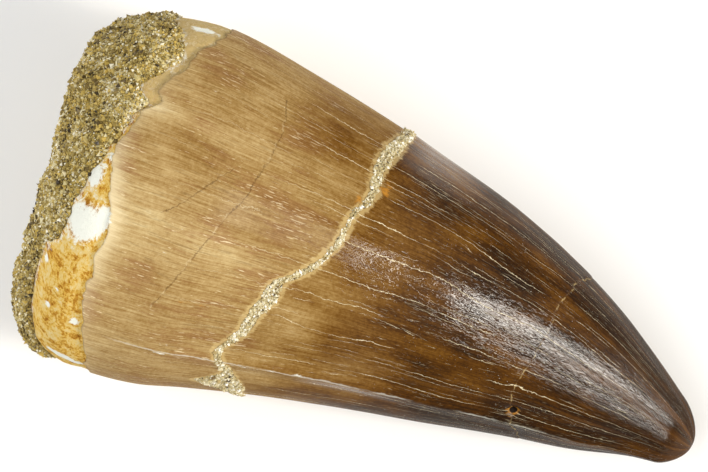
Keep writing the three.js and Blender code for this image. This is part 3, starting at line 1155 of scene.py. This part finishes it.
    def fine_relief(self, x: np.ndarray, angle: np.ndarray, enamel: np.ndarray) -> np.ndarray:
        """Give the height of the fine ridges, wear, pits and hairline break.

        Args:
            x: The places along the tooth.
            angle: The angles round it.
            enamel: The enamel's share there, from 0 to 1.

        Returns:
            The height over the plain relief.
        """
        shape = self.shape
        flow = self.straightened(x, angle)
        ridges = 0.04 * lumps(flow * (0.06, 0.9, 0.9), 1) + 0.025 * lumps(flow * (0.14, 1.8, 1.8), 1)
        ridges = ridges * (1 - 0.7 * smooth(30, 48, x))
        wrinkles = 0.02 * smooth(22, 42, x) * lumps(flow * (0.5, 1.5, 1.5), 1)
        worn = 0.14 * lumps(flow, 2.6) + 0.09 * lumps(flow, 0.9)
        height = enamel * (ridges + wrinkles) + (1 - enamel) * worn
        for keel in shape.keels:
            arc = shape.keel_arc(keel, x, angle)
            crest = self.crest_height * np.exp(-((arc / self.crest_width) ** 2))
            crest *= 0.6 + 0.8 * lumps(flow * (0.5, 0.2, 0.2), 1)
            height += crest * smooth(shape.keel_start, shape.keel_start + 8, x)
        second = x - self.second_break(angle)
        scar = np.exp(-((second / self.scar_width) ** 2)) + smooth(-0.05, 0.1, second)
        height -= self.scar_depth * scar
        return height + self.spread(self.pits, x, angle)

    def build(self) -> bpy.types.Object:
        """Build the crown and dress it.

        Returns:
            The crown.
        """
        shape = self.shape
        angle = np.arange(self.steps) * 360 / self.steps
        x = self.rows(angle)
        turn = np.broadcast_to(angle, x.shape)
        edge = self.enamel_edge(angle)
        enamel = smooth(-0.1, 0.06, x - edge)
        plain = shape.relief(x, turn)
        plain += np.where(x < around(shape.enamel_line, angle), shape.enamel_step, 0)
        height = plain - shape.enamel_step * (1 - enamel) + self.fine_relief(x, turn, enamel)
        inside = np.minimum(x - self.lip(-1, angle), self.lip(1, angle) - x)
        height -= smooth(-0.05, 0.1, inside) * (shape.break_depth + shape.gap)
        side = shape.skin(x, turn, height)
        ends = [shape.end_face(i / self.rings["end"], angle) for i in range(self.rings["end"])]
        shares = np.sin(np.pi / 2 * np.arange(self.rings["cap"] + 1) / self.rings["cap"])
        cap_x = (shape.tip_x - shape.tip_cap * (1 - shares))[:, None] + np.zeros_like(angle)
        cap_turn = np.broadcast_to(angle, cap_x.shape)
        relief = self.fine_relief(cap_x, cap_turn, np.ones_like(cap_x))
        cap = [shape.tip(share, angle, relief[i]) for i, share in enumerate(shares)]
        places = np.concatenate([np.array(ends), side, np.array(cap)])
        places[..., 2] = np.maximum(places[..., 2], 0)
        end_x = np.tile(shape.base_edge(angle), (len(ends), 1))
        marks = self.marks(np.concatenate([end_x, x, cap_x]), angle, edge)
        mesh = spun_mesh("enamel_crown", (places + shape.place()) * MM, marks)
        self.map_lines(mesh)
        return show(mesh, EnamelFinish().material(), "enamel", "tooth_crown")

    def marks(self, x: np.ndarray, angle: np.ndarray, edge: np.ndarray) -> dict[str, np.ndarray]:
        """Work out what the crown's material reads at each point.

        Args:
            x: The x of each point, by ring and by step round.
            angle: The angles round the tooth.
            edge: The x of the enamel's edge at each angle.

        Returns:
            The marks, by name.
        """
        turn = np.broadcast_to(angle, x.shape)
        from_break = x - around(self.shape.break_line, angle)
        spread = np.maximum(around(self.shape.break_width, angle) / 2, 0.1)
        return {
            "flow": self.straightened(x, turn),
            "zones": np.stack([
                x - edge,
                x - self.shape.rock_edge(angle),
                np.sign(from_break) * np.maximum(np.abs(from_break) - spread, 0),
            ], axis=-1),
            "marks": np.stack([
                self.tone(x, turn),
                self.spread(self.white_spots, x, turn),
                self.spread(self.gold_spots, x, turn),
            ], axis=-1),
            "cracks": np.stack([
                self.crack(self.first_crack, x, turn),
                self.crack(self.second_crack, x, turn),
                x - self.second_break(angle),
            ], axis=-1),
        }

    def tone(self, x: np.ndarray, angle: np.ndarray) -> np.ndarray:
        """Give how dark the enamel is.

        Args:
            x: The places along the tooth.
            angle: The angles round it.

        Returns:
            How dark it is there, from 0 to 1.
        """
        beyond = x - around(self.shape.break_line, angle)
        upper = np.exp(-((turn_between(angle, 35) / 50) ** 2))
        step = smooth(0, 0.6, beyond) * np.exp(-np.maximum(beyond, 0) / 10) * (0.02 + 0.08 * upper)
        inward = np.maximum(x - around(self.shape.enamel_line, angle), 0)
        rim = 0.16 * around(self.rim, angle) * np.exp(-inward / 1.6)
        # Painted shade: the enamel is painted darker along the lower edge facet, near 167 degrees round.
        lower_edge_shade = 0.1 * np.exp(-((turn_between(angle, 167) / 15) ** 2)) * smooth(12, 22, x)
        return along(self.tones, x) + step - rim + lower_edge_shade + self.spread(self.tone_spots, x, angle)

    def crack(self, line: Stations, x: np.ndarray, angle: np.ndarray) -> np.ndarray:
        """Give the distance to a crack that crosses the crown.

        Args:
            line: The crack's stations.
            x: The places along the tooth.
            angle: The angles round it.

        Returns:
            The distance along the tooth, which is large past the crack's ends.
        """
        start, end = line[0][0], line[-1][0]
        past = np.maximum(start - angle, angle - end)
        distance = x - along(line, np.clip(angle, start, end))
        return np.where(past > 0, 9.0, distance)

    def map_lines(self, mesh: bpy.types.Mesh) -> None:
        """Map the drying cracks and the keels round the crown, with no seam in the pattern.

        Args:
            mesh: The crown's mesh. It gains a map that counts the drying cracks, which is a half
                at a crack, and a map of the distances from the two keels.
        """
        values = np.empty(len(mesh.vertices) * 3)
        mesh.attributes["flow"].data.foreach_get("vector", values)
        flow = values.reshape(-1, 3)
        turn = np.degrees(np.arctan2(flow[:, 2], flow[:, 1])) % 360
        corner = np.empty(len(mesh.loops), dtype=int)
        mesh.loops.foreach_get("vertex_index", corner)
        sizes = np.empty(len(mesh.polygons), dtype=int)
        mesh.polygons.foreach_get("loop_total", sizes)
        face = np.repeat(np.arange(len(sizes)), sizes)
        x = flow[corner, 0]
        angle = turn[corner]
        highest = np.zeros(len(sizes))
        np.maximum.at(highest, face, angle)
        wrapped = (highest[face] > 270) & (angle < 90)
        count = len(self.line_angles)
        places = np.array([(i % count, i // count) for i in range(-1, count + 9)])
        lines = np.array(self.line_angles)[places[:, 0]] + 360 * places[:, 1]
        number = np.interp(angle + 360 * wrapped, lines, np.arange(-1, count + 9) + 0.5)
        layer = mesh.uv_layers.new(name="lines")
        layer.data.foreach_set("uv", np.stack([x, number], axis=-1).ravel())
        arcs = []
        for keel in self.shape.keels:
            arc = self.shape.keel_arc(keel, x, angle)
            reach = np.full(len(sizes), -99.0)
            least = np.full(len(sizes), 99.0)
            np.maximum.at(reach, face, arc)
            np.minimum.at(least, face, arc)
            arcs.append(np.where(reach[face] - least[face] > 5, 99, arc))
        layer = mesh.uv_layers.new(name="keels")
        layer.data.foreach_set("uv", np.stack(arcs, axis=-1).ravel())


@dataclass
class Grains:
    """Thousands of small angular grains of sand, joined in one mesh."""

    name: str
    sand: Sand
    slot: str
    size: float
    seed: int
    size_spread: float = 0.42
    smallest: float = 0.5
    largest: float = 3

    def build(self, points: np.ndarray, normals: np.ndarray, tones: np.ndarray) -> bpy.types.Object:
        """Set a grain on each point.

        Args:
            points: Where the grains sit, in metres.
            normals: Which way is out there.
            tones: How pale each grain is, from 0 to 1.

        Returns:
            The grains.
        """
        pick = np.random.default_rng(self.seed)
        stone = bmesh.new()
        bmesh.ops.create_uvsphere(stone, u_segments=4, v_segments=2, radius=1)
        corners = np.array([vertex.co[:] for vertex in stone.verts])
        faces = np.array([[vertex.index for vertex in face.verts] for face in stone.faces])
        stone.free()
        count = len(points)
        size = self.size / 2 * MM * np.clip(
            pick.lognormal(0, self.size_spread, count), self.smallest, self.largest
        )
        stretch = pick.uniform(0.65, 1.25, (count, 3))
        shapes = corners[None] * stretch[:, None] * pick.uniform(0.7, 1.3, (count, len(corners), 1))
        turns = np.linalg.qr(pick.normal(size=(count, 3, 3)))[0]
        turns *= np.sign(np.linalg.det(turns))[:, None, None]
        shapes = np.einsum("nij,nkj->nki", turns, shapes * size[:, None, None])
        sunk = (pick.uniform(-0.55, 0.3, count) * size)[:, None]
        places = shapes + (points + normals * sunk)[:, None]
        places[..., 2] = np.maximum(places[..., 2], 0)
        index = faces[None] + (np.arange(count) * len(corners))[:, None, None]
        mesh = bpy.data.meshes.new(self.name)
        mesh.vertices.add(count * len(corners))
        mesh.vertices.foreach_set("co", places.ravel())
        mesh.loops.add(index.size)
        mesh.loops.foreach_set("vertex_index", index.ravel())
        mesh.polygons.add(count * len(faces))
        mesh.polygons.foreach_set("loop_start", np.arange(count * len(faces)) * 3)
        mesh.update(calc_edges=True)
        mesh.polygons.foreach_set("use_smooth", np.zeros(count * len(faces), dtype=bool))
        shine = pick.uniform(0, 1, count) ** 2
        marks = np.stack([tones, shine, np.zeros(count)], axis=-1)
        layer = mesh.attributes.new("grain", "FLOAT_VECTOR", "POINT")
        layer.data.foreach_set("vector", np.repeat(marks, len(corners), axis=0).ravel())
        return show(mesh, self.sand.value.grain_material(), self.slot)


def scatter(
    points: np.ndarray, count: int, pick: np.random.Generator, weight: np.ndarray
) -> tuple[np.ndarray, np.ndarray]:
    """Pick places at random on a surface given as rings of points.

    Args:
        points: The surface's points, by ring and by step round.
        count: How many places to pick.
        pick: The source of chance.
        weight: How much sand each patch between four points takes.

    Returns:
        The places and the directions that are out there.
    """
    a = points[:-1]
    b = points[1:]
    c = np.roll(b, -1, axis=1)
    d = np.roll(a, -1, axis=1)
    across = np.cross(d - b, c - a)
    share = np.linalg.norm(across, axis=-1) * weight
    chosen = pick.choice(share.size, count, p=(share / share.sum()).ravel())
    u, v = pick.uniform(size=(2, count, 1))
    corners = [patch.reshape(-1, 3)[chosen] for patch in (a, b, c, d)]
    low = corners[0] * (1 - u) + corners[3] * u
    high = corners[1] * (1 - u) + corners[2] * u
    out = across.reshape(-1, 3)[chosen]
    out /= np.linalg.norm(out, axis=1, keepdims=True) + 1e-12
    return low * (1 - v) + high * v, out


@dataclass
class BaseRock:
    """The sandy rock stuck over the broken base."""

    shape: ToothShape
    steps: int = 300
    fineness: int = 8
    cover: Stations = (
        (0, 0.65), (30, 0.85), (60, 1), (95, 0.85), (112, 0.45), (130, 0.3), (145, 0.45), (165, 0.9),
        (180, 1.1), (230, 1), (270, 1.2), (320, 1),
    )
    spill: Stations = (
        (0, 0), (100, 0), (130, -0.1), (160, 0.1), (180, 0.2), (230, 0.6), (290, 0.5),
    )
    # Each ring: the share of the way out over the broken end, the share of the way along the crown's
    # side, how far it stands out past the end and how far from the side, where the cover is 1.
    rings: tuple[tuple[float, float, float, float], ...] = (
        (0, 0, 2.7, 0), (0.3, 0, 2.7, 0), (0.52, 0, 2.7, 0), (0.7, 0, 2.6, 0), (0.84, 0, 2.3, 0.15),
        (0.95, 0, 1.8, 0.5), (1, 0, 1.1, 0.9), (1, 0.22, 0.5, 1), (1, 0.45, 0.2, 0.85),
        (1, 0.68, 0, 0.6), (1, 0.88, 0, 0.25), (1, 1, 0, -0.06),
    )
    lump_size: float = 3.4
    lump_height: float = 0.6
    grit_size: float = 1.15
    grit_height: float = 0.3
    grain_size: float = 0.23
    grains_a_piece: int = 24000
    grain_pieces: int = 2

    def face(self, angle: np.ndarray) -> np.ndarray:
        """Lay out the rock's outer face.

        Args:
            angle: The angles round the tooth.

        Returns:
            Its points in millimetres, by ring and by angle.
        """
        shape = self.shape
        table = np.array(self.rings)
        places = np.arange((len(table) - 1) * self.fineness + 1) / self.fineness
        columns = [np.interp(places, np.arange(len(table)), column) for column in table.T]
        base = shape.base_edge(angle)
        ring = self.rolled(angle)
        edge = shape.rock_edge(angle) + around(self.spill, angle)
        edge = np.maximum(edge + 0.3 * lumps(ring, 1.2) + 0.2 * lumps(ring, 0.5), base + 0.25)
        cover = around(self.cover, angle)
        depth = around(shape.rock_depth, angle)
        rows = []
        for radius, share, out, up in zip(*columns):
            height = shape.gap + up * cover
            out = out * (shape.rock_middle_depth + (depth - shape.rock_middle_depth) * radius)
            if share == 0:
                row = shape.end_face(radius, angle, height, 0)
            else:
                x = base + (edge - base) * share
                row = shape.skin(x, angle, shape.relief(x, angle) + height)
            row[:, 0] -= out
            lump = self.lump_height * lumps(row, self.lump_size)
            lump += self.grit_height * (lumps(row, self.grit_size) + 0.5 * lumps(row, 0.5))
            turn = np.radians(angle)
            away = np.stack([-out, up * np.cos(turn), up * np.sin(turn)], axis=-1)
            away /= np.linalg.norm(away, axis=-1, keepdims=True) + 1e-9
            rows.append(row + away * (lump * np.clip(out + up - 0.1, 0, 1))[:, None])
        return np.array(rows)

    @staticmethod
    def rolled(angle: np.ndarray) -> np.ndarray:
        """Give points on a ring, to read noise that closes on itself."""
        turn = np.radians(angle)
        return np.stack([np.full_like(turn, 5.3), 12 * np.cos(turn), 12 * np.sin(turn)], axis=-1)

    def hollow(self, angle: np.ndarray, edge: np.ndarray) -> np.ndarray:
        """Lay out the face that sits on the tooth, a little inside its skin.

        Args:
            angle: The angles round the tooth.
            edge: The x of the rock's edge at each angle.

        Returns:
            Its points in millimetres, by ring and by angle.
        """
        shape = self.shape
        base = shape.base_edge(angle)
        rows = []
        for share in (1, 0.66, 0.33):
            x = base + (edge - base) * share
            rows.append(shape.skin(x, angle, shape.relief(x, angle) - 0.1))
        rows += [shape.end_face(radius, angle, -0.1, 0.05) for radius in (1, 0.66, 0.33, 0)]
        return np.array(rows)

    def build(self) -> list[bpy.types.Object]:
        """Build the rock and the grains on it.

        Returns:
            The pieces.
        """
        angle = np.arange(self.steps) * 360 / self.steps
        face = self.face(angle)
        points = np.concatenate([face, self.hollow(angle, face[-1, :, 0])])
        points[..., 2] = np.maximum(points[..., 2], 0)
        points = (points + self.shape.place()) * MM
        marks = np.zeros_like(points)
        marks[..., 1] = 0.5 + 0.5 * lumps(points / MM, 2.6) + 0.3 * lumps(points / MM, 0.9)
        mesh = spun_mesh("rock_body", points, {"sand": marks})
        pieces = [show(mesh, Sand.ROCK.value.ground_material(), "rock", "base_rock")]
        pick = np.random.default_rng(11)
        surface = points[: len(face)]
        weight = np.ones((len(surface) - 1, 1))
        weight[-self.fineness:, 0] = np.linspace(0.9, 0.3, self.fineness)
        for i in range(self.grain_pieces):
            places, out = scatter(surface, self.grains_a_piece, pick, weight)
            cloud = lumps(places / MM, 2.6) + 0.6 * lumps(places / MM, 0.9)
            tones = np.clip(0.5 + 0.22 * cloud + pick.normal(0, 0.24, len(places)), 0, 1)
            maker = Grains(f"rock_grains_{i + 1}", Sand.ROCK, "rock", self.grain_size, 20 + i)
            pieces.append(maker.build(places, out, tones))
        return pieces


@dataclass
class BreakSand:
    """The sand that fills the wide break."""

    shape: ToothShape
    crown: Crown
    steps: int = 720
    rows: int = 16
    overlap: float = 0.16
    grain_size: float = 0.17
    grain_count: int = 17000
    # Hollows in the sand's face: sunk, left without grains, and painted with shade by the ground's
    # material.
    voids: tuple[Spot, ...] = (
        Spot(0.05, 90, 0.36, 2.4, 1), Spot(-0.05, 71, 0.32, 2.4, 1), Spot(0.3, 134, 0.4, 1.6, 0.6),
        Spot(0, 262, 0.5, 4, 0.8), Spot(0, 322, 0.5, 3, 0.8),
    )

    def face(self, angle: np.ndarray) -> tuple[np.ndarray, np.ndarray]:
        """Lay out the sand's face, which laps over both edges of the break in thin crumbs.

        Args:
            angle: The angles round the tooth.

        Returns:
            Its points in millimetres, and how hollow it is there, by row and by angle.
        """
        shape = self.shape
        edges = []
        for side in (-1, 1):
            ragged = self.crown.stray(angle, 40 * side, (1.0, 0.8), (0.6, 0.35))
            lap = self.overlap * np.clip(0.45 + ragged * 1.2, 0.12, 2)
            edges.append(self.crown.lip(side, angle) + side * lap)
        share = np.linspace(0, 1, self.rows)[:, None]
        x = edges[0] + (edges[1] - edges[0]) * share
        across = 2 * share - 1
        flow = self.crown.straightened(x, np.broadcast_to(angle, x.shape))
        rough = 0.1 * lumps(flow, 0.9) + 0.08 * lumps(flow, 0.35)
        hollow = np.zeros_like(x)
        for spot in self.voids:
            turn = turn_between(angle, spot.angle)
            off = ((across - spot.x) / spot.length) ** 2 + (turn / spot.width) ** 2
            hollow += spot.amount * np.exp(-(off**2))
        height = 0.05 + rough * (1 - across**4) - 0.09 * across**8 - 0.6 * hollow
        return shape.skin(x, angle, shape.relief(x, angle) + height), hollow

    def build(self) -> list[bpy.types.Object]:
        """Build the sand and the grains on it.

        Returns:
            The pieces.
        """
        shape = self.shape
        angle = np.arange(self.steps) * 360 / self.steps
        face, hollow = self.face(angle)
        floors = []
        for x in (face[-1, :, 0] - self.overlap * 2, face[0, :, 0] + self.overlap * 2):
            floors.append(shape.skin(x, angle, shape.relief(x, angle) - shape.break_depth))
        points = np.concatenate([face, np.array(floors)])
        points[..., 2] = np.maximum(points[..., 2], 0)
        points = (points + shape.place()) * MM
        marks = np.zeros_like(points)
        # The hollows, where the ground's material paints shade.
        marks[: len(hollow), :, 0] = hollow
        marks[..., 1] = 0.5 + 0.5 * lumps(points / MM, 1.6) + 0.3 * lumps(points / MM, 0.6)
        mesh = spun_mesh("seam_sand", points, {"sand": marks}, closes_on_itself=True)
        pieces = [show(mesh, Sand.SEAM.value.ground_material(), "sand", "break_sand")]
        pick = np.random.default_rng(5)
        places, out = scatter(
            points[: len(face)], self.grain_count, pick, np.clip(1 - 2.5 * hollow[:-1], 0, 1)
        )
        tones = np.clip(0.55 + 0.2 * lumps(places / MM, 0.9) + pick.normal(0, 0.25, len(places)), 0, 1)
        maker = Grains("seam_grains", Sand.SEAM, "sand", self.grain_size, 31)
        pieces.append(maker.build(places, out, tones))
        return pieces


@dataclass(frozen=True)
class Lamp:
    """A soft rectangular lamp that faces the tooth.

    Its direction and elevation are in degrees, its distance, height and width in metres, and its
    power in watts.
    """

    name: str
    direction: float
    elevation: float
    distance: float
    height: float
    width: float
    colour: Colour
    power: float

    def hang(self) -> None:
        """Hang the lamp."""
        light = bpy.data.lights.new(self.name, "AREA")
        light.shape = "RECTANGLE"
        light.size = self.height
        light.size_y = self.width
        light.energy = self.power
        light.color = self.colour
        holder = bpy.data.objects.new(self.name, light)
        turn = math.radians(self.direction)
        rise = math.radians(self.elevation)
        holder.location = (
            self.distance * math.cos(rise) * math.cos(turn),
            self.distance * math.cos(rise) * math.sin(turn),
            self.distance * math.sin(rise),
        )
        holder.rotation_euler = (0, math.pi / 2 - rise, turn)
        bpy.context.scene.collection.objects.link(holder)


@dataclass
class Studio:
    """The pale floor, the lamps and the camera, which looks straight down."""

    shape: ToothShape
    pixel: float = 0.09
    width_pixels: int = 708
    middle: Triple = (28.85, 4.2, 13)
    turn: float = 23
    distance: float = 1.5
    sensor: float = 36
    floor_size: float = 3
    floor_drop: float = 0.00002
    sky: float = 0.26
    lamps: tuple[Lamp, ...] = (
        Lamp("key", 8, 37.5, 0.7, 0.48, 0.17, (1, 0.95, 0.87), 5.4),
        Lamp("fill", 195, 52, 0.7, 0.9, 0.9, (1, 1, 1), 4.9),
    )

    def build(self) -> None:
        """Set up the floor, the lamps, the world and the camera."""
        self.lay_floor()
        for lamp in self.lamps:
            lamp.hang()
        world = bpy.data.worlds.new("studio")
        world.use_nodes = True
        background = world.node_tree.nodes["Background"]
        background.inputs["Color"].default_value = (1, 1, 1, 1)
        background.inputs["Strength"].default_value = self.sky
        bpy.context.scene.world = world
        target = (np.array(self.middle) + self.shape.place()) * MM
        camera = bpy.data.cameras.new("camera")
        camera.sensor_width = self.sensor
        camera.lens = self.sensor * self.distance / (self.pixel * self.width_pixels * MM)
        camera.clip_start = 0.01
        holder = bpy.data.objects.new("camera", camera)
        holder.location = target + np.array([0, 0, self.distance])
        holder.rotation_euler = (0, 0, math.radians(self.turn))
        bpy.context.scene.collection.objects.link(holder)
        bpy.context.scene.camera = holder
        bpy.context.scene.view_settings.view_transform = "Standard"

    def lay_floor(self) -> None:
        """Lay the pale floor that the tooth rests on."""
        shape = bmesh.new()
        bmesh.ops.create_grid(shape, x_segments=1, y_segments=1, size=self.floor_size / 2)
        bmesh.ops.translate(shape, verts=shape.verts, vec=(0, 0, -self.floor_drop))
        mesh = bpy.data.meshes.new("floor")
        shape.to_mesh(mesh)
        shape.free()
        shader = Shader("pale_card")
        place = shader.wire("ShaderNodeTexCoord", {}, {}, "Object")
        fibre = shader.noise(place, scale=40, detail=3)
        colour = shader.ramp(fibre, ((0.3, (0.95, 0.95, 0.945)), (0.7, (0.975, 0.975, 0.97))))
        mesh.materials.append(shader.close(shader.surface({"Base Color": colour, "Roughness": 0.9})))
        floor = bpy.data.objects.new("floor", mesh)
        bpy.context.scene.collection.objects.link(floor)


def main() -> None:
    """Build the tooth and the studio."""
    logging.basicConfig(level=logging.INFO, format="%(name)s %(message)s")
    shape = ToothShape()
    crown = Crown(shape)
    crown.build()
    BaseRock(shape).build()
    BreakSand(shape, crown).build()
    Studio(shape).build()


if __name__ == "__main__":
    main()
